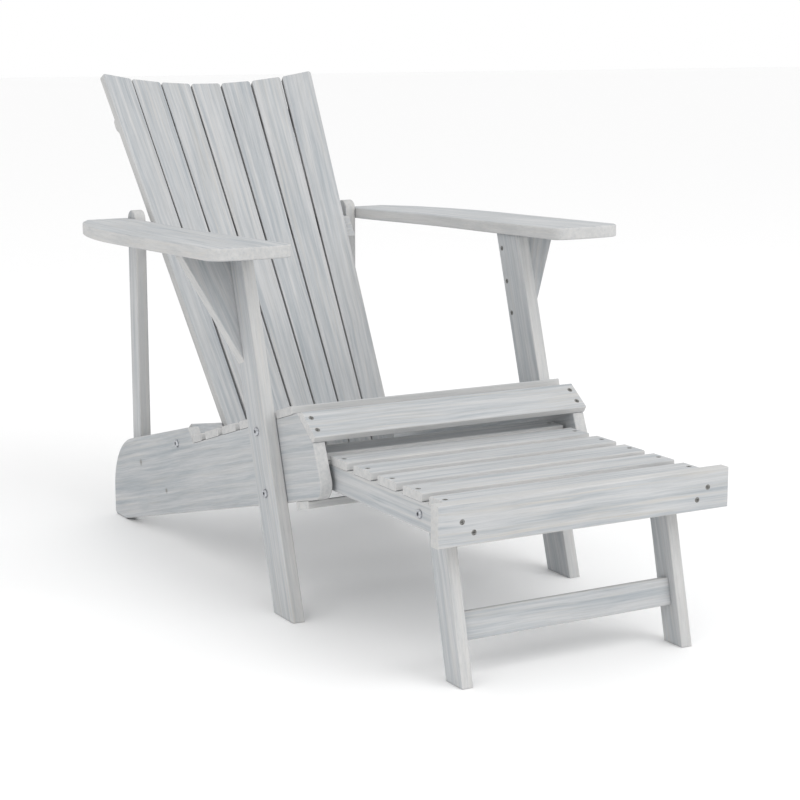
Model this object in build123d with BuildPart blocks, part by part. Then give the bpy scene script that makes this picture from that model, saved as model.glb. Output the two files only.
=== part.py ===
from build123d import *
from math import asin, atan, cos, degrees, pi, radians, sin, sqrt, tan
import os

# Adirondack chair with a footrest that slides out from under the seat.
# Millimetres. X across the chair, front towards -Y, Z up, origin on the floor
# under the middle of the chair with its footrest pulled out.
# Distances called _y are measured back from the front edge of the front legs'
# feet; datum_y moves them to the origin.

os.makedirs("parts", exist_ok=True)

# Boards
board = 21.0              # legs, stringers, posts, braces, brackets
arm_thickness = 20.0
slat = 13.0               # every seat, back and footrest slat
light_board = 19.0        # footrest rails, legs, apron, stretcher
edge = 2.0                # rounding along the boards' edges

# Overall sizes
arm_spread = 749.3        # across the outside of both arms
back_height = 822.0       # floor to the back's outer top corners, before they are rounded
seat_width = 496.0        # across the outside of both stringers

# Stringers: the seat's side rails, which run down to the floor behind
stringer_depth = 146.0
stringer_slope = 14.4
heel_y = 748.0            # where the underside meets the floor
heel_flat = 51.0
heel_radius = 8.0
rear_radius = 112.0
hump_y = 446.0            # front of the hump behind the seat
notch_y = 423.0
notch_z = 205.0
seat_slope = 16.84
facet_slope = 35.5        # the bevel that carries the front slat
facet_length = 64.7
facet_y = 21.6
nose_lean = 22.8
nose_radius = 25.0

# Front legs and their brackets
leg_run = 68.0            # width of the leg along the floor
leg_lean = 17.2
leg_bolt_heights = (188.0, 282.0)
bracket_reach = 82.0
bracket_drop = 187.0

# Arms
arm_drop = 1.65           # degrees, lower at the back
arm_front_y = 39.0
arm_rear_y = 755.0
arm_inset = 13.0          # the inner edge lies this far outside the stringers' inner face
arm_waist = 15.0          # and this far halfway back
arm_tail = 77.0           # width of the arm's rear end
arm_corner = 32.0

# Rear posts
post_y = 734.0
post_depth = 36.0
post_foot_z = 34.0
post_top_above_arm = 15.0
arm_rear_z = 563.6        # top of the arm beside the post

# Back
slat_count = 7
back_gap = 3.2
back_low_z = 260.0        # lower station
back_high_z = 820.0       # upper station
back_low_y = 514.0        # front face of the middle slat at each station
back_high_y = 917.6
back_low_half = 167.2     # half width of the fan at each station
back_high_half = 218.0
back_low_hollow = 14.4    # how far the middle slat lies behind the outer edges
back_high_hollow = 38.9
back_foot_z = 169.0       # lower end of the slats
back_dip = 22.9           # the top edge's dip in the middle
brace_height = 40.0
brace_low_z = 205.0
brace_arm_z = 545.0       # height of its screws on the slats' front
brace_top_z = 730.0
arm_brace_z = 532.5       # middle of the upright brace between the posts
arm_brace_height = 35.0

# Seat slats
seat_slat_width = 55.0
seat_slat_gap = 17.4
seat_slat_count = 5
seat_first_y = 39.0       # front lower corner of the first slat behind the bevel
rear_slat_width = 38.0

# Batten under the stringers
batten_y = -14.0
batten_width = 42.0
batten_thickness = 12.0

# Footrest
footrest_reach = 405.5    # apron's front ahead of the front legs' feet
apron_length = 498.0
apron_height = 60.0
apron_z = 211.0
rail_clearance = 7.0      # between each rail and stringer
rail_height = 40.0
rail_z = 214.0
rail_rear_y = 66.0
deck_count = 6
deck_width = 54.0
deck_gap = 20.6
foot_leg_run = 45.0
foot_leg_lean = 13.3
foot_leg_front_y = -392.0
foot_leg_top_gap = 4.0
stretcher_height = 41.0
stretcher_z = 77.0
block_length = 40.0

# Slide rod in its grooves
rod_radius = 6.0
rod_y = 48.0
rod_fit = 0.06            # running clearance in the rails' holes
groove_depth = 9.0
groove_fit = 0.5
rod_end_gap = 1.0
slide_travel = 280.0
slide_slope = 12.0        # degrees, the grooves run down to the rear

# Fasteners
screw_head = 4.2          # radius
screw_shank = 2.1
screw_sink = 0.4
bolt_head = 7.0           # radius
bolt_head_rise = 3.6
bolt_shank = 3.2
nut_radius = 6.0
nut_height = 4.5
dowel_radius = 5.0
dowel_length = 40.0
short_dowel_length = 30.0

# Worked out from the sizes above
stringer_outer = seat_width / 2
stringer_inner = stringer_outer - board
leg_outer = stringer_outer + board
post_inner = stringer_inner - board
rail_outer = stringer_inner - rail_clearance
rail_inner = rail_outer - light_board
foot_leg_inner = rail_inner - light_board
slope = tan(radians(stringer_slope))
pitch_slope = tan(radians(seat_slope))
lean = tan(radians(leg_lean))
foot_lean = tan(radians(foot_leg_lean))
arm_fall = tan(radians(arm_drop))
deck_top = rail_z + rail_height + slat
apron_rear_y = light_board - footrest_reach
rod_z = rail_z + rail_height / 2


def under_z(y):           # underside of the stringers
    return slope * (heel_y - y)


def hump_z(y):            # top of the stringers behind the seat
    return under_z(y) + stringer_depth / cos(radians(stringer_slope))


def seat_z(y):            # top of the stringers under the seat slats
    return notch_z + pitch_slope * (notch_y - y)


def arm_z(y):             # underside of the arms
    return arm_rear_z + arm_fall * (post_y - y) - arm_thickness / cos(radians(arm_drop))


def mix(low, high, z):    # a value at height z between the back's two stations
    return low + (high - low) * (z - back_low_z) / (back_high_z - back_low_z)


# The middle slat's rear top edge is the rearmost point, the apron the foremost
rake = atan((back_high_y - back_low_y) / (back_high_z - back_low_z))
rear_most = mix(back_low_y, back_high_y, back_height - back_dip) + slat * cos(rake)
datum_y = (footrest_reach - rear_most) / 2


def side_plane(x):        # sketches here read (y, z) and extrude along +X
    return Plane(origin=(x, datum_y, 0), x_dir=(0, 1, 0), z_dir=(1, 0, 0))


def save(piece, name):
    piece.part.label = name
    export_step(piece.part, f"parts/{name}.step")


# fasteners, each with its head at the origin and its tip towards -Z

def screw_shape(length, recess=True, clear=0.0):
    tip = -length
    with BuildPart() as shape:
        with BuildSketch(Plane.XZ):
            with BuildLine():
                Polyline(
                    (0, clear), (screw_head, clear), (screw_head, -screw_sink),
                    (screw_shank, -screw_sink - screw_head + screw_shank),
                    (screw_shank, tip + 2 * screw_shank), (0, tip), close=True,
                )
            make_face()
        revolve(axis=Axis.Z)
        if recess:
            with BuildSketch(Plane.XY):
                Circle(screw_head + 1)
            extrude(amount=-screw_sink, mode=Mode.SUBTRACT)
            with BuildSketch(Plane.XY.offset(-screw_sink)):
                Rectangle(0.62 * 2 * screw_head, 0.24 * screw_head)
                Rectangle(0.24 * screw_head, 0.62 * 2 * screw_head)
            extrude(amount=-1.6, taper=8, mode=Mode.SUBTRACT)
    return shape.part


def bolt_shape(length, recess=True):
    with BuildPart() as shape:
        Cylinder(bolt_shank, length, align=(Align.CENTER, Align.CENTER, Align.MAX))
        if recess:
            Cylinder(bolt_head, bolt_head_rise, align=(Align.CENTER, Align.CENTER, Align.MIN))
            fillet(shape.edges().group_by(Axis.Z)[-1], bolt_head_rise * 0.75)
            with BuildSketch(Plane.XY.offset(bolt_head_rise)):
                RegularPolygon(bolt_head * 0.45, 6)
            extrude(amount=-bolt_head_rise * 0.8, mode=Mode.SUBTRACT)
    return shape.part


def facing(origin, out, across=(0, 1, 0)):   # a place whose +Z points out of the surface
    x, y, z = origin
    return Plane(origin=(x, y + datum_y, z), x_dir=across, z_dir=out).location


def group(shape, places, name):
    with BuildPart() as pieces:
        with Locations(*places):
            add(shape)
    save(pieces, name)


seat_screw = screw_shape(24)
seat_hole = screw_shape(24, recess=False, clear=2.0)
long_screw = screw_shape(38)
long_hole = screw_shape(38, recess=False, clear=2.0)
back_screw = screw_shape(board + slat * 0.6)
back_hole = screw_shape(board + slat * 0.6, recess=False, clear=2.0)
back_deep_hole = screw_shape(board + slat * 0.6, recess=False, clear=40.0)

# places of the fasteners

seat_dir = (0, cos(radians(seat_slope)), -sin(radians(seat_slope)))
seat_out = (0, sin(radians(seat_slope)), cos(radians(seat_slope)))
facet_dir = (0, cos(radians(facet_slope)), sin(radians(facet_slope)))
facet_out = (0, -sin(radians(facet_slope)), cos(radians(facet_slope)))
screw_x = stringer_outer - board / 2
seat_pitch = seat_slat_width + seat_slat_gap


def on_seat(along, up=0.0):     # a point on the stringers' seat edge, measured from the first slat
    y = seat_first_y + along * seat_dir[1]
    return y + up * seat_out[1], seat_z(y) + up * seat_out[2]


def facet_point(down, up=0.0):  # a point on the bevel, measured down from its top corner
    y = facet_y - down * facet_dir[1]
    z = seat_z(facet_y) - down * facet_dir[2]
    return y + up * facet_out[1], z + up * facet_out[2]


rear_slat_start = seat_slat_count * seat_pitch
seat_widths = [seat_slat_width] * seat_slat_count + [rear_slat_width]
seat_screw_places = {-1: [], 1: []}
slat_screw_places = []
for k, width in enumerate(seat_widths):
    offsets = (width * 0.25, width * 0.75) if k < seat_slat_count else (width * 0.5,)
    own = []
    for side in (-1, 1):
        for offset in offsets:
            y, z = on_seat(k * seat_pitch + offset, slat)
            place = facing((side * screw_x, y, z), seat_out, (1, 0, 0))
            seat_screw_places[side].append(place)
            own.append(place)
    slat_screw_places.append(own)

front_slat_start = facet_length - seat_slat_width
front_screw_places = {-1: [], 1: []}
for side in (-1, 1):
    for share in (0.27, 0.73):
        y, z = facet_point(front_slat_start + seat_slat_width * share, slat)
        front_screw_places[side].append(facing((side * screw_x, y, z), facet_out, (1, 0, 0)))


def leg_y(z):                    # middle of the front legs at height z
    return lean * z + leg_run / 2


def foot_leg_y(z):
    return foot_leg_front_y + foot_lean * z + foot_leg_run / 2


leg_bolt_places = {
    s: [facing((s * leg_outer, leg_y(z), z), (s, 0, 0)) for z in leg_bolt_heights] for s in (-1, 1)
}
leg_nut_places = {
    s: [facing((s * stringer_inner, leg_y(z), z), (-s, 0, 0)) for z in leg_bolt_heights] for s in (-1, 1)
}


# the back's geometry: seven flat slats fanned over hollow braces

def fan_point(share, z):         # front face of the fan; share runs from -1 to 1 across it
    half = mix(back_low_half, back_high_half, z)
    hollow = mix(back_low_hollow, back_high_hollow, z)
    radius = (half**2 + hollow**2) / (2 * hollow)
    turn = share * asin(half / radius)
    middle = mix(back_low_y, back_high_y, z)
    return Vector(radius * sin(turn), middle - radius * (1 - cos(turn)) + datum_y, z), turn


def slat_plane(i):               # origin low on slat i's front face, +Y up the slat, +Z to the front
    share = 2 * i / slat_count
    low, low_turn = fan_point(share, back_low_z)
    high, high_turn = fan_point(share, back_high_z)
    up = (high - low).normalized()
    turn = (low_turn + high_turn) / 2
    across = Vector(cos(turn), -sin(turn), 0)
    front = across.cross(up).normalized()
    return Plane(origin=low, x_dir=up.cross(front), z_dir=front)


fan_length = (fan_point(0, back_high_z)[0] - fan_point(0, back_low_z)[0]).length
low_slat_width = 2 * back_low_half / slat_count - back_gap
high_slat_width = 2 * sqrt(back_high_half**2 + back_high_hollow**2) / slat_count - back_gap
taper_rate = (high_slat_width - low_slat_width) / fan_length


def width_at(along):             # slat width this far up from the lower station
    return low_slat_width + taper_rate * along


def along_at(plane, across, z):  # distance up the slat to height z, on its edge
    return (z - plane.origin.Z - across * plane.x_dir.Z) / plane.y_dir.Z


def top_z(x):                    # height of the back's top edge
    return back_height - back_dip * (1 - (x / back_high_half) ** 2)


slat_range = range(-(slat_count // 2), slat_count // 2 + 1)
slat_planes = {i: slat_plane(i) for i in slat_range}
brace_heights = {"lower": brace_low_z, "arm_height": brace_arm_z, "upper": brace_top_z}


def brace_screw_place(i, z):
    plane = slat_planes[i]
    along = along_at(plane, 0, z)
    spot = plane.origin + plane.y_dir * along - plane.z_dir * (slat + board)
    return Plane(origin=spot, x_dir=plane.x_dir, z_dir=-plane.z_dir).location


brace_screw_places = {
    name: [brace_screw_place(i, z) for i in slat_range]
    for name, z in brace_heights.items()
}


def back_slat(i):
    plane = slat_planes[i]
    foot = along_at(plane, 0, back_foot_z)
    corners = []
    for edge_side in (-1, 1):
        reach = fan_length
        for _ in range(4):
            across = edge_side * width_at(reach) / 2
            x = plane.origin.X + across * plane.x_dir.X + reach * plane.y_dir.X
            reach = along_at(plane, across, top_z(x))
        corners.append((across, reach))
    with BuildPart() as piece:
        with BuildSketch(plane) as outline:
            with BuildLine():
                Polyline(
                    (-width_at(foot) / 2, foot), (width_at(foot) / 2, foot),
                    corners[1], corners[0], close=True,
                )
            make_face()
            fillet(outline.vertices().sort_by(Axis.Y)[-2:], 5)
            fillet(outline.vertices().sort_by(Axis.Y)[:2], 2)
        extrude(amount=-slat)
        fillet(piece.faces().sort_by(Axis((0, 0, 0), -plane.z_dir))[0].edges(), edge * 0.8)
        with Locations(*[places[i - slat_range[0]] for places in brace_screw_places.values()]):
            add(back_hole, mode=Mode.SUBTRACT)
    return piece


def slat_seat(i):                # what a slat takes out of a brace, a little wider than the slat
    plane = slat_planes[i]
    low, high = -4 * brace_height, fan_length
    margin = back_gap / 2 + 0.6
    with BuildPart() as piece:
        with BuildSketch(plane.offset(-slat)):
            with BuildLine():
                Polyline(
                    (-width_at(low) / 2 - margin, low), (width_at(low) / 2 + margin, low),
                    (width_at(high) / 2 + margin, high), (-width_at(high) / 2 - margin, high),
                    close=True,
                )
            make_face()
        extrude(amount=slat * 2)
    return piece.part


slat_seats = [slat_seat(i) for i in slat_range]


def brace(name, half_length, end_radius=0.0, flat_back=True):
    z = brace_heights[name]
    middle = fan_point(0, z)[0]
    plane = Plane(origin=middle, x_dir=(1, 0, 0), z_dir=(0, sin(rake), cos(rake)))
    half = mix(back_low_half, back_high_half, z)
    hollow = mix(back_low_hollow, back_high_hollow, z) * cos(rake)
    radius = (half**2 + hollow**2) / (2 * hollow)
    proud = 4.0                  # cut away again where the slats sit
    with BuildPart() as piece:
        with BuildSketch(plane.offset(-brace_height / 2)):
            with Locations((0, -radius)):
                if flat_back:
                    Rectangle(3 * half_length, 2 * (radius + slat + board))
                else:
                    Circle(radius + slat + board)
                Circle(radius + slat - proud, mode=Mode.SUBTRACT)
            Rectangle(2 * half_length, 6 * board, mode=Mode.INTERSECT)
        extrude(amount=brace_height)
        for seat in slat_seats:
            add(seat, mode=Mode.SUBTRACT)
        if end_radius:
            ends = piece.faces().filter_by(Axis.X).sort_by(Axis.X)
            corners = ends[0].edges().sort_by(Edge.length)[:2] + ends[-1].edges().sort_by(Edge.length)[:2]
            fillet(corners, end_radius)
        with Locations(*brace_screw_places[name]):
            add(back_deep_hole, mode=Mode.SUBTRACT)
    return piece


def arm_brace():                 # stands upright between the posts, hollow in front, flat behind
    z = arm_brace_z
    lean_plane = Plane(origin=fan_point(0, z)[0], x_dir=(1, 0, 0), z_dir=(0, sin(rake), cos(rake)))
    half = mix(back_low_half, back_high_half, z)
    hollow = mix(back_low_hollow, back_high_hollow, z) * cos(rake)
    radius = (half**2 + hollow**2) / (2 * hollow)
    with BuildPart() as hollow_front:
        with BuildSketch(lean_plane.offset(-2 * brace_height)):
            with Locations((0, -radius)):
                Circle(radius + slat - 4)
        extrude(amount=4 * brace_height)
    with BuildPart() as piece:
        with Locations((0, post_y + post_depth / 2 + datum_y, z)):
            Box(2 * post_inner, 80, arm_brace_height, align=(Align.CENTER, Align.MAX, Align.CENTER))
        add(hollow_front.part, mode=Mode.SUBTRACT)
        for seat in slat_seats:
            add(seat, mode=Mode.SUBTRACT)
        with Locations(*brace_screw_places["arm_height"]):
            add(back_deep_hole, mode=Mode.SUBTRACT)
        with Locations(*brace_end_places[-1], *brace_end_places[1]):
            add(short_dowel.part, mode=Mode.SUBTRACT)
    return piece


# places of the other fasteners

rail_bolt_y = fan_point(0, brace_low_z)[0].Y - datum_y + (slat + board / 2) * cos(rake)
rail_bolt_z = brace_low_z - (slat + board / 2) * sin(rake)
rail_bolt_places = {
    s: [facing((s * stringer_outer, rail_bolt_y, rail_bolt_z), (s, 0, 0))] for s in (-1, 1)
}

under_out = (0, -sin(radians(stringer_slope)), -cos(radians(stringer_slope)))
batten_run = batten_width * cos(radians(stringer_slope))
batten_screw_places = {-1: [], 1: []}
for side in (-1, 1):
    for share in (0.27, 0.73):
        y = batten_y + batten_run * share + batten_thickness * under_out[1]
        z = under_z(batten_y + batten_run * share) + batten_thickness * under_out[2]
        batten_screw_places[side].append(facing((side * screw_x, y, z), under_out, (1, 0, 0)))

post_screw_places = {
    s: [facing((s * post_inner, post_y, z), (-s, 0, 0)) for z in (62.0, 112.0)] for s in (-1, 1)
}
arm_middle_z = arm_rear_z - arm_thickness / 2
arm_post_places = {
    s: [facing((s * stringer_inner, post_y + dy, arm_middle_z), (s, 0, 0)) for dy in (-9.0, 9.0)]
    for s in (-1, 1)
}
brace_end_places = {s: [facing((s * post_inner, post_y, arm_brace_z), (s, 0, 0))] for s in (-1, 1)}

leg_tilt = radians(leg_lean)
bracket_screw_heights = (533.0, 478.0, 425.0)
bracket_screw_places = {
    s: [facing((s * stringer_outer, lean * z + leg_run - 11.0, z), (-s, 0, 0)) for z in bracket_screw_heights]
    for s in (-1, 1)
}

arm_under_plane = Plane(
    origin=(0, post_y + datum_y, arm_z(post_y)), x_dir=(1, 0, 0),
    z_dir=(0, sin(radians(arm_drop)), cos(radians(arm_drop))),
)
arm_top_plane = arm_under_plane.offset(arm_thickness)
dowel_y = leg_y(arm_z(leg_y(560.0)))
arm_dowel_places = []
for side in (-1, 1):
    for dy in (-20.0, 2.0):
        sink = dowel_length / 2 - arm_thickness + 6
        spot = ((stringer_outer + board / 2) * side, dowel_y + dy + datum_y, arm_z(dowel_y + dy) - sink)
        arm_dowel_places.append(Plane(origin=spot, x_dir=(1, 0, 0), z_dir=arm_under_plane.z_dir).location)

foot_bolt_y = -306.0
foot_bolt_z = 236.0
foot_bolt_places = {s: [facing((s * rail_outer, foot_bolt_y, foot_bolt_z), (s, 0, 0))] for s in (-1, 1)}
foot_nut_places = {s: [facing((s * foot_leg_inner, foot_bolt_y, foot_bolt_z), (-s, 0, 0))] for s in (-1, 1)}

deck_pitch = deck_width + deck_gap
deck_screw_x = (rail_outer + rail_inner) / 2
deck_fronts = [apron_rear_y + k * deck_pitch for k in range(deck_count)]
deck_screw_places = [
    [facing((s * deck_screw_x, y + deck_width / 2, deck_top), (0, 0, 1), (1, 0, 0)) for s in (-1, 1)]
    for y in deck_fronts
]
apron_front_y = -footrest_reach
rail_end_places = {s: facing((s * deck_screw_x, apron_front_y, 245.0), (0, -1, 0), (1, 0, 0)) for s in (-1, 1)}
block_x = (rail_inner + foot_leg_inner) / 2
block_places = {s: facing((s * block_x, apron_front_y, 228.0), (0, -1, 0), (1, 0, 0)) for s in (-1, 1)}

foot_tilt = radians(foot_leg_lean)
stretcher_up = (0, sin(foot_tilt), cos(foot_tilt))
stretcher_y = foot_leg_y(stretcher_z) + 2.0
stretcher_dowel_places = []
for side in (-1, 1):
    for rise in (-10.0, 10.0):
        spot = (side * foot_leg_inner, stretcher_y + rise * stretcher_up[1], stretcher_z + rise * stretcher_up[2])
        stretcher_dowel_places.append(facing(spot, (1, 0, 0)))

leg_bolt = bolt_shape(2 * board + nut_height)
leg_bolt_hole = bolt_shape(2 * board + nut_height + 2, recess=False)
rail_bolt = bolt_shape(board + 45)
rail_bolt_hole = bolt_shape(board + 45, recess=False)
foot_bolt = bolt_shape(2 * light_board + nut_height)
foot_bolt_hole = bolt_shape(2 * light_board + nut_height + 2, recess=False)

with BuildPart() as nut:
    with BuildSketch():
        RegularPolygon(nut_radius, 6)
        Circle(bolt_shank, mode=Mode.SUBTRACT)
    extrude(amount=nut_height)

with BuildPart() as dowel:
    Cylinder(dowel_radius, dowel_length)

with BuildPart() as short_dowel:
    Cylinder(dowel_radius, short_dowel_length)


# chair frame

def stringer(side):
    heel_end = heel_y + heel_flat
    nose_top = facet_point(facet_length)
    nose_run = tan(radians(nose_lean))
    nose_z = slope * (heel_y - nose_top[0] + nose_run * nose_top[1]) / (1 + slope * nose_run)
    nose_y = nose_top[0] - nose_run * (nose_top[1] - nose_z)
    outline = [
        (heel_y, 0), (heel_end, 0), (heel_end, hump_z(heel_end)), (hump_y, hump_z(hump_y)),
        (notch_y, notch_z), (facet_y, seat_z(facet_y)), nose_top, (nose_y, nose_z),
    ]
    start = stringer_inner if side > 0 else -stringer_outer
    with BuildPart() as piece:
        with BuildSketch(side_plane(start)) as profile:
            with BuildLine():
                Polyline(*outline, close=True)
            make_face()
            for corner, radius in ((1, heel_radius), (2, rear_radius), (3, 6), (4, 3), (7, nose_radius)):
                fillet(profile.vertices().sort_by_distance((*outline[corner], 0))[0], radius)
        extrude(amount=board)
        rims = [face.edges() for face in piece.faces().filter_by(Axis.X)]
        fillet(rims[0] + rims[1], edge)
        middle = (
            rod_y + slide_travel / 2 * cos(radians(slide_slope)),
            rod_z - slide_travel / 2 * sin(radians(slide_slope)),
        )
        with BuildSketch(side_plane(side * (stringer_inner - 1))):
            with Locations(middle):
                SlotCenterToCenter(slide_travel, 2 * (rod_radius + groove_fit), rotation=-slide_slope)
        extrude(amount=side * (groove_depth + 1), mode=Mode.SUBTRACT)
        with Locations(*leg_bolt_places[side]):
            add(leg_bolt_hole, mode=Mode.SUBTRACT)
        with Locations(*rail_bolt_places[side]):
            add(rail_bolt_hole, mode=Mode.SUBTRACT)
        with Locations(*seat_screw_places[side], *front_screw_places[side]):
            add(seat_hole, mode=Mode.SUBTRACT)
        with Locations(*batten_screw_places[side], *post_screw_places[side]):
            add(long_hole, mode=Mode.SUBTRACT)
    return piece


def front_leg(side):
    roof = arm_z(0)
    front_top = roof / (1 + arm_fall * lean)
    rear_top = (roof - arm_fall * leg_run) / (1 + arm_fall * lean)
    start = stringer_outer if side > 0 else -leg_outer
    with BuildPart() as piece:
        with BuildSketch(side_plane(start)):
            with BuildLine():
                Polyline(
                    (0, 0), (leg_run, 0), (leg_run + lean * rear_top, rear_top),
                    (lean * front_top, front_top), close=True,
                )
            make_face()
        extrude(amount=board)
        fillet(piece.edges().sort_by(Edge.length)[-4:], edge)
        with Locations(*leg_bolt_places[side]):
            add(leg_bolt_hole, mode=Mode.SUBTRACT)
        with Locations(*bracket_screw_places[side]):
            add(long_hole, mode=Mode.SUBTRACT)
        with Locations(*arm_dowel_places):
            add(dowel.part, mode=Mode.SUBTRACT)
    return piece


def arm_bracket(side):
    plane = Plane(
        origin=(side * leg_outer, leg_run + datum_y, 0), x_dir=(1, 0, 0),
        z_dir=(0, -cos(leg_tilt), sin(leg_tilt)),
    )
    top = arm_z(leg_y(560.0)) / cos(leg_tilt)
    with BuildPart() as piece:
        with BuildSketch(plane):
            with BuildLine():
                Polyline(
                    (0, top - bracket_drop), (0, top + board), (side * bracket_reach, top + board),
                    (side * bracket_reach, top - 10), close=True,
                )
            make_face()
        extrude(amount=board)
        split(bisect_by=arm_under_plane, keep=Keep.BOTTOM)
        fillet(piece.edges().sort_by(Edge.length)[-2:], edge)
        with Locations(*bracket_screw_places[side]):
            add(long_hole, mode=Mode.SUBTRACT)
    return piece


def arm(side):
    inner = stringer_inner + arm_inset
    waist = stringer_inner + arm_waist
    outer = arm_spread / 2
    tail = stringer_inner + arm_tail
    fall = cos(radians(arm_drop))

    def at(x, y):
        return side * x, (y - post_y) / fall

    with BuildPart() as piece:
        with BuildSketch(arm_top_plane) as outline:
            with BuildLine():
                inside = Line(at(inner, arm_front_y + 4), at(inner, arm_front_y + 210))
                bend = Spline(
                    inside @ 1, at(waist, 450), at(stringer_inner, post_y - post_depth / 2 - 6),
                    tangents=[(0, 1), (0, 1)],
                )
                beside = Line(bend @ 1, at(stringer_inner, arm_rear_y))
                rear = Line(beside @ 1, at(tail, arm_rear_y))
                corner = Line(rear @ 1, at(tail + 12, arm_rear_y - 20))
                flank = Spline(
                    corner @ 1, at(358, 612), at(outer, 440), tangents=[(side * 0.514, -0.857), (0, -1)],
                )
                outside = Line(flank @ 1, at(outer, arm_front_y + 10))
                ThreePointArc(outside @ 1, at((inner + outer) / 2, arm_front_y), inside @ 0)
            make_face()
            fillet(outline.vertices().sort_by_distance((*at(outer, arm_front_y), 0))[0], arm_corner)
            fillet(outline.vertices().sort_by_distance((*at(inner, arm_front_y), 0))[0], 16)
            fillet(outline.vertices().sort_by_distance((*at(tail, arm_rear_y), 0))[0], 6)
        extrude(amount=-arm_thickness)
        flats = piece.faces().sort_by(lambda face: face.area)[-2:]
        fillet(flats[0].edges() + flats[1].edges(), 2.5)
        with Locations(*arm_dowel_places):
            add(dowel.part, mode=Mode.SUBTRACT)
        with Locations(*arm_post_places[side]):
            add(short_dowel.part, mode=Mode.SUBTRACT)
    return piece


def rear_post(side):
    start = post_inner if side > 0 else -stringer_inner
    top = arm_rear_z + post_top_above_arm - post_depth / 2
    with BuildPart() as piece:
        with BuildSketch(side_plane(start)):
            with Locations((post_y, (post_foot_z + top) / 2)):
                Rectangle(post_depth, top - post_foot_z)
            with Locations((post_y, top)):
                Circle(post_depth / 2)
        extrude(amount=board)
        rims = [face.edges() for face in piece.faces().filter_by(Axis.X)]
        fillet(rims[0] + rims[1], edge)
        with Locations(*post_screw_places[side]):
            add(long_hole, mode=Mode.SUBTRACT)
        with Locations(*arm_post_places[side]):
            add(short_dowel.part, mode=Mode.SUBTRACT)
        with Locations(*brace_end_places[side]):
            add(short_dowel.part, mode=Mode.SUBTRACT)
    return piece


def cross_slat(low_front, along_dir, out_dir, width, length, places, hole, soft=edge):
    (y, z), (_, ay, az), (_, oy, oz) = low_front, along_dir, out_dir
    with BuildPart() as piece:
        with BuildSketch(side_plane(-length / 2)):
            with BuildLine():
                Polyline(
                    (y, z), (y + width * ay, z + width * az),
                    (y + width * ay + slat * oy, z + width * az + slat * oz),
                    (y + slat * oy, z + slat * oz), close=True,
                )
            make_face()
        extrude(amount=length)
        fillet(piece.edges().filter_by(Axis.X), soft)
        if places:
            with Locations(*places):
                add(hole, mode=Mode.SUBTRACT)
    return piece


for name, side in (("left", -1), ("right", 1)):
    save(stringer(side), f"stringer_{name}")
    save(front_leg(side), f"front_leg_{name}")
    save(arm_bracket(side), f"arm_bracket_{name}")
    save(arm(side), f"arm_{name}")
    save(rear_post(side), f"rear_post_{name}")

for k, width in enumerate(seat_widths):
    node = "seat_slat_rear" if k == seat_slat_count else f"seat_slat_{k + 1}"
    corner = on_seat(k * seat_pitch)
    save(cross_slat(corner, seat_dir, seat_out, width, seat_width, slat_screw_places[k], seat_hole), node)

save(
    cross_slat(facet_point(facet_length), facet_dir, facet_out, seat_slat_width, seat_width,
               front_screw_places[-1] + front_screw_places[1], seat_hole),
    "seat_slat_front",
)

batten_rear = batten_y + batten_run
with BuildPart() as seat_batten:
    with BuildSketch(side_plane(-stringer_outer)):
        with BuildLine():
            Polyline(
                (batten_y, under_z(batten_y)), (batten_rear, under_z(batten_rear)),
                (batten_rear + batten_thickness * under_out[1], under_z(batten_rear) + batten_thickness * under_out[2]),
                (batten_y + batten_thickness * under_out[1], under_z(batten_y) + batten_thickness * under_out[2]),
                close=True,
            )
        make_face()
    extrude(amount=seat_width)
    fillet(seat_batten.edges().filter_by(Axis.X), edge)
    with Locations(*batten_screw_places[-1], *batten_screw_places[1]):
        add(long_hole, mode=Mode.SUBTRACT)
save(seat_batten, "seat_batten")

for i in slat_range:
    save(back_slat(i), f"back_slat_{i - slat_range[0] + 1}")

lower_back_rail = brace("lower", stringer_inner)
with BuildPart() as drilled_rail:
    add(lower_back_rail.part)
    with Locations(*rail_bolt_places[-1], *rail_bolt_places[1]):
        add(rail_bolt_hole, mode=Mode.SUBTRACT)
save(drilled_rail, "lower_back_rail")

save(arm_brace(), "arm_height_brace")
save(brace("upper", 205.0, end_radius=16.0, flat_back=False), "upper_back_brace")


# fasteners of the chair frame

group(leg_bolt, leg_bolt_places[-1] + leg_bolt_places[1], "leg_bolts")
group(nut.part, leg_nut_places[-1] + leg_nut_places[1], "leg_nuts")
group(rail_bolt, rail_bolt_places[-1] + rail_bolt_places[1], "back_rail_bolts")
group(seat_screw, seat_screw_places[-1] + seat_screw_places[1] + front_screw_places[-1] + front_screw_places[1],
      "seat_screws")
group(back_screw, [p for places in brace_screw_places.values() for p in places], "back_screws")
group(long_screw, bracket_screw_places[-1] + bracket_screw_places[1], "bracket_screws")
group(long_screw, batten_screw_places[-1] + batten_screw_places[1], "batten_screws")
group(long_screw, post_screw_places[-1] + post_screw_places[1], "post_screws")
group(short_dowel.part, arm_post_places[-1] + arm_post_places[1] + brace_end_places[-1] + brace_end_places[1],
      "post_dowels")
group(dowel.part, arm_dowel_places, "arm_dowels")


# footrest

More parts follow.
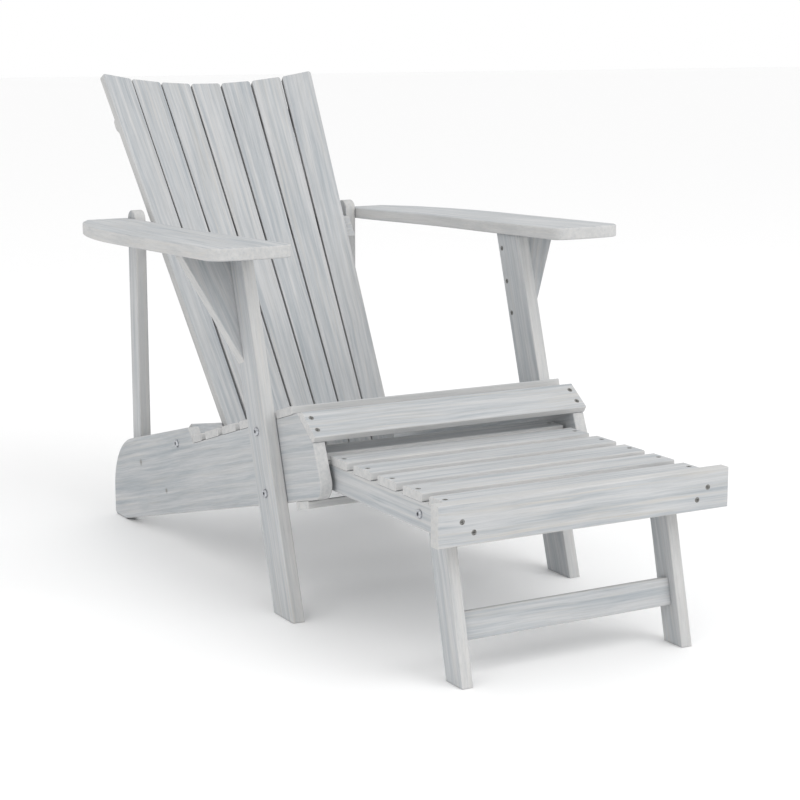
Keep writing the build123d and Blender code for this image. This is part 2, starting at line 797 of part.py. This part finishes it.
def footrest_rail(side):
    start = rail_inner if side > 0 else -rail_outer
    length = rail_rear_y - apron_rear_y
    with BuildPart() as piece:
        with BuildSketch(side_plane(start)) as profile:
            with Locations(((rail_rear_y + apron_rear_y) / 2, rod_z)):
                Rectangle(length, rail_height)
            fillet(profile.vertices().sort_by(Axis.X)[-2:], 8)
        extrude(amount=light_board)
        rims = [face.edges().sort_by(Edge.length)[-2:] for face in piece.faces().filter_by(Axis.X)]
        fillet(rims[0] + rims[1], edge)
        with BuildSketch(side_plane(start)):
            with Locations((rod_y, rod_z)):
                Circle(rod_radius + rod_fit)
        extrude(amount=light_board, mode=Mode.SUBTRACT)
        with Locations(*foot_bolt_places[side]):
            add(foot_bolt_hole, mode=Mode.SUBTRACT)
        with Locations(*[p for places in deck_screw_places for p in places]):
            add(seat_hole, mode=Mode.SUBTRACT)
        with Locations(rail_end_places[side]):
            add(long_hole, mode=Mode.SUBTRACT)
    return piece


def footrest_leg(side):
    start = foot_leg_inner if side > 0 else -rail_inner
    top = rail_z + rail_height - foot_leg_top_gap
    front, rear = foot_leg_front_y, foot_leg_front_y + foot_leg_run
    with BuildPart() as piece:
        with BuildSketch(side_plane(start)):
            with BuildLine():
                Polyline(
                    (front, 0), (rear, 0), (rear + foot_lean * top, top), (front + foot_lean * top, top), close=True,
                )
            make_face()
        extrude(amount=light_board)
        fillet(piece.edges().sort_by(Edge.length)[-4:], edge)
        with Locations(*foot_bolt_places[side]):
            add(foot_bolt_hole, mode=Mode.SUBTRACT)
        with Locations(*stretcher_dowel_places):
            add(stretcher_dowel.part, mode=Mode.SUBTRACT)
    return piece


with BuildPart() as stretcher_dowel:
    Cylinder(4.0, 2 * light_board - 6)

for name, side in (("left", -1), ("right", 1)):
    save(footrest_rail(side), f"footrest_rail_{name}")
    save(footrest_leg(side), f"footrest_leg_{name}")
    start = foot_leg_inner if side > 0 else -rail_inner
    with BuildPart() as block:
        with BuildSketch(side_plane(start)):
            with Locations((apron_rear_y + block_length / 2, rod_z - foot_leg_top_gap / 2)):
                Rectangle(block_length, rail_height - foot_leg_top_gap)
        extrude(amount=light_board)
        with Locations(block_places[side]):
            add(long_hole, mode=Mode.SUBTRACT)
    save(block, f"footrest_block_{name}")

flat_dir = (0, 1, 0)
flat_out = (0, 0, 1)
for k, y in enumerate(deck_fronts):
    corner = (y, rail_z + rail_height)
    node = f"footrest_slat_{deck_count - k}"
    save(cross_slat(corner, flat_dir, flat_out, deck_width, 2 * rail_outer, deck_screw_places[k], seat_hole), node)

with BuildPart() as apron:
    with BuildSketch(side_plane(-apron_length / 2)):
        with Locations((apron_rear_y - light_board / 2, apron_z + apron_height / 2)):
            Rectangle(light_board, apron_height)
    extrude(amount=apron_length)
    fillet(apron.faces().sort_by(Axis.Y)[0].edges(), edge)
    with Locations(*rail_end_places.values(), *block_places.values()):
        add(long_hole, mode=Mode.SUBTRACT)
save(apron, "footrest_apron")

stretcher_plane = Plane(
    origin=(-foot_leg_inner, stretcher_y + datum_y, stretcher_z), x_dir=(0, cos(foot_tilt), -sin(foot_tilt)),
    z_dir=(1, 0, 0),
)
with BuildPart() as stretcher:
    with BuildSketch(stretcher_plane):
        Rectangle(light_board, stretcher_height)
    extrude(amount=2 * foot_leg_inner)
    fillet(stretcher.edges().filter_by(Axis.X), edge)
    with Locations(*stretcher_dowel_places):
        add(stretcher_dowel.part, mode=Mode.SUBTRACT)
save(stretcher, "footrest_stretcher")

group(foot_bolt, foot_bolt_places[-1] + foot_bolt_places[1], "footrest_bolts")
group(nut.part, foot_nut_places[-1] + foot_nut_places[1], "footrest_nuts")
group(seat_screw, [p for places in deck_screw_places for p in places], "footrest_screws")
group(long_screw, [*rail_end_places.values(), *block_places.values()], "apron_screws")
group(stretcher_dowel.part, stretcher_dowel_places, "stretcher_dowels")

rod_half = stringer_inner + groove_depth - rod_end_gap
with BuildPart() as slide_rod:
    with BuildSketch(side_plane(-rod_half)):
        with Locations((rod_y, rod_z)):
            Circle(rod_radius)
    extrude(amount=2 * rod_half)
    chamfer(slide_rod.edges(), 1)
save(slide_rod, "slide_rod")

print("datum", round(datum_y, 3), "rod centre", round(rod_y + datum_y, 3), rod_z)
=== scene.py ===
import math

import bpy
import numpy as np
from mathutils import Matrix, Vector

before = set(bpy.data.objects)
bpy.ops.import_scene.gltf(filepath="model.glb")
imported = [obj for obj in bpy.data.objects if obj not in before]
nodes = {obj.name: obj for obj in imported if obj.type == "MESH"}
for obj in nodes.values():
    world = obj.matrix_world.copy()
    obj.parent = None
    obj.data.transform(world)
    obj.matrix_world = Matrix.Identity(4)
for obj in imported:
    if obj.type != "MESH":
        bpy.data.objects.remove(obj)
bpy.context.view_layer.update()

bpy.ops.object.select_all(action="DESELECT")


def linear(hexColour):  # an sRGB hex value as linear light
    channels = [int(hexColour[i:i + 2], 16) / 255 for i in (1, 3, 5)]
    return tuple(c / 12.92 if c <= 0.04045 else ((c + 0.055) / 1.055) ** 2.4 for c in channels) + (1.0,)


def addNode(tree, kind, settings=None, links=None):  # one shader node, its values and its incoming links
    node = tree.nodes.new(kind)
    for name, value in (settings or {}).items():
        if isinstance(name, str) and hasattr(node, name):
            setattr(node, name, value)
        else:
            node.inputs[name].default_value = value
    for name, socket in (links or {}).items():
        tree.links.new(socket, node.inputs[name])
    return node


def newMaterial(name):
    material = bpy.data.materials.new(name)
    material.use_nodes = True
    material.node_tree.nodes.clear()
    return material, material.node_tree


def grainAxes(obj):  # a board's grain runs where it has the least end face, its flat is where it has the most
    spread = np.zeros((3, 3))
    for polygon in obj.data.polygons:
        normal = np.array(polygon.normal)
        spread += polygon.area * np.outer(normal, normal)
    vectors = np.linalg.eigh(spread)[1]
    along, flat = Vector(vectors[:, 0]), Vector(vectors[:, 2])
    return along, flat.cross(along), flat


# Whitewashed wood: sawn softwood under thinned white and grey-blue paint, wiped along the grain.
# It gives the eye fine pale streaks that follow each board, matt faces and creamier edges, with a painted
# highlight on side and end faces and painted shade where boards come close.
whitewash = {
    "white": "#c0c1c2",
    "greyBlue": "#9fa5aa",
    "cream": "#bfbab2",
    # the creamy colour of worn edges, also laid on side and end faces, there partly as a painted highlight
    "edge": "#cbc9c6",
    "knot": "#77736d",
    # painted shade: the dark grey laid in where boards come close
    "paintedShade": "#6c7075",
    "streakMm": (300, 7, 7),       # length and width of the wiped streaks, and of what follows
    "creamMm": (200, 4, 4),
    "grainMm": (60, 0.9, 0.9),
    "brushMm": (120, 2.2, 2.2),
    "patchMm": (190, 60, 60),
    "wanderMm": 8,                 # how far a streak strays sideways
    "wanderPerMetre": 5.0,         # how often it strays
    "poreBumpMm": 0.22,
    "poreBumpStrength": 0.5,
    "roughness": 0.74,
    "roughnessSwing": 0.06,
    "ior": 1.48,
    "wornEdgeMm": 3,
    "paintedShadeMm": 9,                # how close two boards are where painted shade darkens the paint
    "toneLean": 0.10,              # how far a board's tone shifts the balance of white and grey-blue
    "sideBlend": (0.9, 0.5, 0.0, 0.45),      # the ranges of the blends: from low, high, to first, last
    "wornBlend": (0.995, 0.9, 0.0, 0.6),
    "paintedShadeBlend": (0.15, 0.6, 0.85, 0.0),
    "knotRim": (0.75, 1.55),       # the eye of a knot fades between these shares of its radius
    "knotDepth": 0.75,
    "knotRag": 0.9,
}


def whitewashedWood(name, axes, shift, tone, cream, knots):
    along, across, flat = axes
    material, tree = newMaterial(name)
    objectSpace = addNode(tree, "ShaderNodeTexCoord").outputs["Object"]
    turn = Matrix((along, across, flat)).to_euler()
    start = (shift, shift * 0.7, shift * 0.4)  # each board is cut from another part of the pattern
    board = addNode(tree, "ShaderNodeMapping", {"Rotation": turn, "Location": start},
                    {"Vector": objectSpace}).outputs[0]
    wander = addNode(tree, "ShaderNodeTexNoise", {"Scale": whitewash["wanderPerMetre"], "Detail": 2.0},
                     {"Vector": board}).outputs["Color"]
    stray = whitewash["wanderMm"] / 1000
    wavy = addNode(tree, "ShaderNodeVectorMath", {"operation": "MULTIPLY_ADD", 1: (0.0, stray, stray)},
                   {0: wander, 2: board}).outputs[0]

    sources = {}
    for key, detail, roughness in (("streak", 5.0, 0.68), ("cream", 4.0, 0.6), ("grain", 4.0, 0.7),
                                   ("brush", 4.0, 0.6), ("patch", 2.0, 0.5)):
        scale = tuple(1000 / size for size in whitewash[key + "Mm"])
        place = addNode(tree, "ShaderNodeMapping", {"Scale": scale}, {"Vector": wavy}).outputs[0]
        settings = {"Scale": 1.0, "Detail": detail, "Roughness": roughness}
        sources[key] = addNode(tree, "ShaderNodeTexNoise", settings, {"Vector": place}).outputs["Fac"]

    lean = whitewash["toneLean"] * (0.5 - tone)
    rough, swing = whitewash["roughness"], whitewash["roughnessSwing"]
    ranges = {
        "wiped": ("streak", 0.32 + lean, 0.62 + lean, 0.0, 1.0),
        "creamy": ("cream", 0.50, 0.70, 0.0, cream),
        "brushed": ("brush", 0.50, 0.75, 0.0, 0.40),
        "pores": ("grain", 0.30, 0.50, 0.86, 1.0),
        "cloud": ("patch", 0.30, 0.70, 0.955, 1.03),
        "rough": ("streak", 0.30, 0.70, rough + swing, rough - swing),
        "wear": ("brush", 0.35, 0.60, 0.0, 1.0),
    }
    geometry = addNode(tree, "ShaderNodeNewGeometry").outputs["Normal"]
    # side and end faces are found by how far they turn from the board's flat
    facing = addNode(tree, "ShaderNodeVectorMath", {"operation": "DOT_PRODUCT", 1: tuple(flat)},
                     {0: geometry}).outputs["Value"]
    sources["facing"] = addNode(tree, "ShaderNodeMath", {"operation": "ABSOLUTE"}, {0: facing}).outputs[0]
    rounded = addNode(tree, "ShaderNodeBevel",
                      {"samples": 4, "Radius": whitewash["wornEdgeMm"] / 1000}).outputs[0]
    sources["turned"] = addNode(tree, "ShaderNodeVectorMath", {"operation": "DOT_PRODUCT"},
                               {0: rounded, 1: geometry}).outputs["Value"]
    # painted shade: ambient occlusion darkens the paint where boards come close
    sources["openness"] = addNode(tree, "ShaderNodeAmbientOcclusion",
                                 {"samples": 4, "Distance": whitewash["paintedShadeMm"] / 1000}).outputs["AO"]
    ranges["side"] = ("facing", *whitewash["sideBlend"])  # sawn sides soak up more of the white, and are made lighter still as a painted highlight
    ranges["rub"] = ("turned", *whitewash["wornBlend"])
    ranges["paintedShadeLevel"] = ("openness", *whitewash["paintedShadeBlend"])
    levels = {}
    for key, (source, low, high, first, last) in ranges.items():
        settings = {"From Min": low, "From Max": high, "To Min": first, "To Max": last}
        levels[key] = addNode(tree, "ShaderNodeMapRange", settings, {"Value": sources[source]}).outputs[0]
    levels["worn"] = addNode(tree, "ShaderNodeMath", {"operation": "MULTIPLY"},
                             {0: levels["rub"], 1: levels["wear"]}).outputs[0]

    colour = addNode(tree, "ShaderNodeMix", {"data_type": "RGBA", 6: linear(whitewash["greyBlue"]),
                     7: linear(whitewash["white"])}, {0: levels["wiped"]}).outputs[2]
    # the last blend here lays in painted shade where boards come close
    for level, over in (("creamy", "cream"), ("brushed", "white"), ("side", "edge"), ("worn", "edge"),
                        ("paintedShadeLevel", "paintedShade")):
        colour = addNode(tree, "ShaderNodeMix", {"data_type": "RGBA", 7: linear(whitewash[over])},
                         {0: levels[level], 6: colour}).outputs[2]
    for level in ("pores", "cloud"):
        colour = addNode(tree, "ShaderNodeMix", {"data_type": "RGBA", "blend_type": "MULTIPLY", 0: 1.0},
                         {6: colour, 7: levels[level]}).outputs[2]
    for place, radius in knots:  # a knot is a dark eye with a ragged rim
        away = addNode(tree, "ShaderNodeVectorMath", {"operation": "DISTANCE", 1: place},
                       {0: objectSpace}).outputs["Value"]
        rag = radius * whitewash["knotRag"]
        ragged = addNode(tree, "ShaderNodeMath", {"operation": "MULTIPLY_ADD", 1: rag},
                         {0: sources["streak"], 2: away}).outputs[0]
        inner, outer = (radius * share for share in whitewash["knotRim"])
        settings = {"From Min": inner, "From Max": outer, "To Min": whitewash["knotDepth"], "To Max": 0.0}
        eye = addNode(tree, "ShaderNodeMapRange", settings, {"Value": ragged}).outputs[0]
        colour = addNode(tree, "ShaderNodeMix", {"data_type": "RGBA", 7: linear(whitewash["knot"])},
                         {0: eye, 6: colour}).outputs[2]

    settings = {"Strength": whitewash["poreBumpStrength"], "Distance": whitewash["poreBumpMm"] / 1000}
    bump = addNode(tree, "ShaderNodeBump", settings, {"Height": sources["grain"]})
    shader = addNode(tree, "ShaderNodeBsdfPrincipled", {"IOR": whitewash["ior"]},
                     {"Base Color": colour, "Roughness": levels["rough"], "Normal": bump.outputs[0]})
    addNode(tree, "ShaderNodeOutputMaterial", links={"Surface": shader.outputs[0]})
    return material


# Plated steel: bright zinc on the bolts and the rod, screws dulled by a film of the paint.
# It gives the eye small grey glints with a faint cloudy bloom.
steel = {
    "bright": {"colour": "#c3c5c9", "stain": "#8d8f92", "roughness": 0.34, "metal": 1.0},
    "painted": {"colour": "#8b8b89", "stain": "#6c6b67", "roughness": 0.5, "metal": 0.7},
    "bloomMm": 4,
    "roughnessSwing": (-0.06, 0.12),
}


def zincPlatedSteel(name, finish):
    material, tree = newMaterial(name)
    objectSpace = addNode(tree, "ShaderNodeTexCoord").outputs["Object"]
    bloom = addNode(tree, "ShaderNodeTexNoise", {"Scale": 1000 / steel["bloomMm"], "Detail": 3.0},
                    {"Vector": objectSpace}).outputs["Fac"]
    stain = addNode(tree, "ShaderNodeMapRange", {"From Min": 0.42, "From Max": 0.7}, {"Value": bloom}).outputs[0]
    colour = addNode(tree, "ShaderNodeMix", {"data_type": "RGBA", 6: linear(finish["colour"]),
                     7: linear(finish["stain"])}, {0: stain}).outputs[2]
    smooth, dull = (finish["roughness"] + swing for swing in steel["roughnessSwing"])
    settings = {"From Min": 0.3, "From Max": 0.7, "To Min": smooth, "To Max": dull}
    rough = addNode(tree, "ShaderNodeMapRange", settings, {"Value": bloom}).outputs[0]
    shader = addNode(tree, "ShaderNodeBsdfPrincipled", {"Metallic": finish["metal"]},
                     {"Base Color": colour, "Roughness": rough})
    addNode(tree, "ShaderNodeOutputMaterial", links={"Surface": shader.outputs[0]})
    return material


# Turned beech: bare hardwood dowels, warm and close-grained where they show at all.
beechLook = {"pale": "#cfa878", "dark": "#b98f5e", "fleckMm": (12, 1.2, 1.2), "roughness": 0.6}


def turnedBeech(name):
    material, tree = newMaterial(name)
    objectSpace = addNode(tree, "ShaderNodeTexCoord").outputs["Object"]
    scale = tuple(1000 / size for size in beechLook["fleckMm"])
    place = addNode(tree, "ShaderNodeMapping", {"Scale": scale}, {"Vector": objectSpace}).outputs[0]
    fleck = addNode(tree, "ShaderNodeTexNoise", {"Scale": 1.0, "Detail": 3.0}, {"Vector": place}).outputs["Fac"]
    colour = addNode(tree, "ShaderNodeMix", {"data_type": "RGBA", 6: linear(beechLook["pale"]),
                     7: linear(beechLook["dark"])}, {0: fleck}).outputs[2]
    shader = addNode(tree, "ShaderNodeBsdfPrincipled", {"Roughness": beechLook["roughness"]},
                     {"Base Color": colour})
    addNode(tree, "ShaderNodeOutputMaterial", links={"Surface": shader.outputs[0]})
    return material


# How much white was left on each board, a low tone being greyer, and how creamy it is
boardLooks = {
    "stringer_left": {"tone": 0.1, "cream": 0.3},
    "stringer_right": {"tone": 0.4, "cream": 0.3},
    "back_slat_1": {"tone": 0.55, "cream": 0.25},
    "back_slat_2": {"tone": 0.45, "cream": 0.4},
    "back_slat_3": {"tone": 0.5, "cream": 0.45},
    "back_slat_4": {"tone": 0.6, "cream": 0.4},
    "back_slat_5": {"tone": 0.1, "cream": 0.25},
    "back_slat_6": {"tone": 0.45, "cream": 0.4},
    "back_slat_7": {"tone": 0.4, "cream": 0.3},
    "footrest_apron": {"tone": 0.7, "cream": 0.6},
}
stringerKnots = [((-0.249, 0.4105, 0.124), 0.007), ((-0.249, 0.2925, 0.095), 0.006)]
zincNodes = ("leg_bolts", "leg_nuts", "back_rail_bolts", "footrest_bolts", "footrest_nuts", "slide_rod")
brightZinc = zincPlatedSteel("bright zinc plated steel", steel["bright"])
paintedZinc = zincPlatedSteel("paint-filmed zinc plated steel", steel["painted"])
beech = turnedBeech("turned beech")
for count, (node, obj) in enumerate(sorted(nodes.items())):
    if node in zincNodes:
        material = brightZinc
    elif node.endswith("screws"):
        material = paintedZinc
    elif node.endswith("dowels"):
        material = beech
    else:
        spare = {"tone": 0.35 + 0.3 * (count * 0.618 % 1),
                 "cream": 0.25 + 0.3 * (count * 0.37 % 1)}  # spread evenly over the other boards
        look = boardLooks.get(node, spare)
        knots = stringerKnots if node == "stringer_left" else ()
        material = whitewashedWood(f"whitewashed wood {node}", grainAxes(obj), count * 0.731,
                                   look["tone"], look["cream"], knots)
    obj.data.materials.clear()
    obj.data.materials.append(material)
print("painted", len(nodes), "pieces")


studio = {
    "floor": "#fbfbfb",
    "floorSize": 60.0,
    "floorDrop": 0.0005,  # a hair under the feet
    "floorRoughness": 0.9,
    "sky": "#ffffff",
    "skyStrength": 1.0,
    "key": {"at": (1.6, -3.2, 3.6), "size": 3.0, "power": 60},
    "fill": {"at": (-3.4, -1.8, 2.2), "size": 3.0, "power": 12},
    "lookAt": (0, -0.1, 0.35),
}
bpy.ops.object.select_all(action="DESELECT")
bpy.ops.mesh.primitive_plane_add(size=studio["floorSize"], location=(0, 0, 0))
floor = bpy.context.object
floor.name = "studio_floor"
for vertex in floor.data.vertices:
    vertex.co.z -= studio["floorDrop"]
floorPaint, tree = newMaterial("matt studio paper")
shader = addNode(tree, "ShaderNodeBsdfPrincipled",
                 {"Base Color": linear(studio["floor"]), "Roughness": studio["floorRoughness"]})
addNode(tree, "ShaderNodeOutputMaterial", links={"Surface": shader.outputs[0]})
floor.data.materials.append(floorPaint)

world = bpy.data.worlds.new("studio sky")
world.use_nodes = True
world.node_tree.nodes["Background"].inputs["Color"].default_value = linear(studio["sky"])
world.node_tree.nodes["Background"].inputs["Strength"].default_value = studio["skyStrength"]
bpy.context.scene.world = world
for name in ("key", "fill"):
    setting = studio[name]
    bpy.ops.object.light_add(type="AREA", location=setting["at"])
    light = bpy.context.object
    light.name = f"{name} light"
    light.data.size = setting["size"]
    light.data.energy = setting["power"]
    aim = Vector(studio["lookAt"]) - Vector(setting["at"])
    light.rotation_euler = aim.to_track_quat("-Z", "Y").to_euler()

view = {"at": (-1.5678, -2.8890, 0.9132), "pitchDown": 10.819, "yawRight": 29.466, "lens": 88.71, "sensor": 36}
bpy.ops.object.camera_add(location=view["at"])
camera = bpy.context.object
camera.rotation_euler = (math.radians(90 - view["pitchDown"]), 0, -math.radians(view["yawRight"]))
camera.data.lens = view["lens"]
camera.data.sensor_width = view["sensor"]
bpy.context.scene.camera = camera
# The plain transform shows the paint in its own colours
bpy.context.scene.view_settings.view_transform = "Standard"
print("studio is set")
